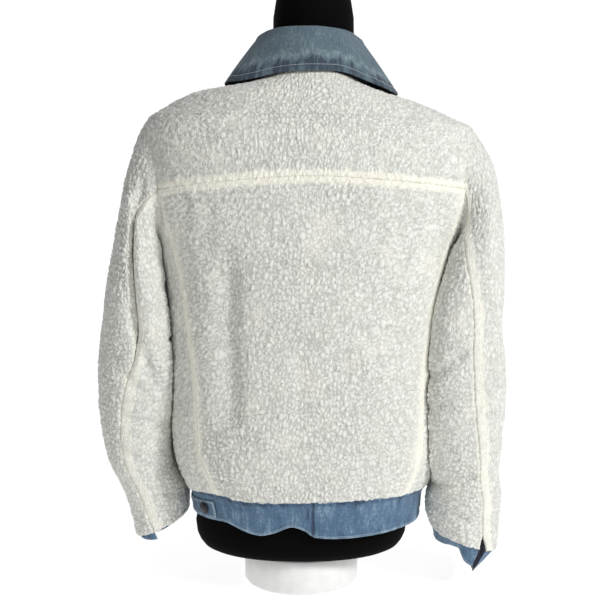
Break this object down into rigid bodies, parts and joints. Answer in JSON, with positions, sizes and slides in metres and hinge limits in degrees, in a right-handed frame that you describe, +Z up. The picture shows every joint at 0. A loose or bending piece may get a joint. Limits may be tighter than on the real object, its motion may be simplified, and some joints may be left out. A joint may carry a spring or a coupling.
{
  "type": "sherpa jacket on a dress form",
  "caption": "Sherpa fleece jacket with denim collar, waistband and cuffs, worn on a limbless dress form that stands on a low round riser.",
  "frame": {"origin": "point on the riser's flat underside, below the middle of the neck opening", "axes": "+Z up; the jacket's back faces -Y and its front +Y; the wearer's left is -X"},
  "size_m": [0.5591, 0.2677, 0.8333],
  "materials": {
    "sherpa": "curly cream pile",
    "denim": "washed blue twill",
    "button": "dark gunmetal",
    "form": "black jersey",
    "riser": "matt white"
  },
  "bodies": {
    "root": {"back_panel": "sherpa", "back_yoke": "sherpa", "back_side_left": "sherpa", "back_side_right": "sherpa", "front_left": "sherpa", "front_right": "sherpa", "sleeve_under_left": "sherpa", "sleeve_under_right": "sherpa", "sleeve_upper_left": "sherpa", "sleeve_upper_right": "sherpa", "collar": "denim", "waistband_back": "denim", "waistband_left": "denim", "waistband_right": "denim", "side_tab_left": "denim", "side_tab_right": "denim", "placket": "denim", "pocket_welt_left": "denim", "pocket_welt_right": "denim", "cuff_left": "denim", "cuff_right": "denim", "button_front_1": "button", "button_front_2": "button", "button_front_3": "button", "button_front_4": "button", "button_front_5": "button", "button_tab_left": "button", "button_tab_right": "button", "dress_form": "form", "neck_cap": "form", "riser": "riser"}
  },
  "joints": []
}
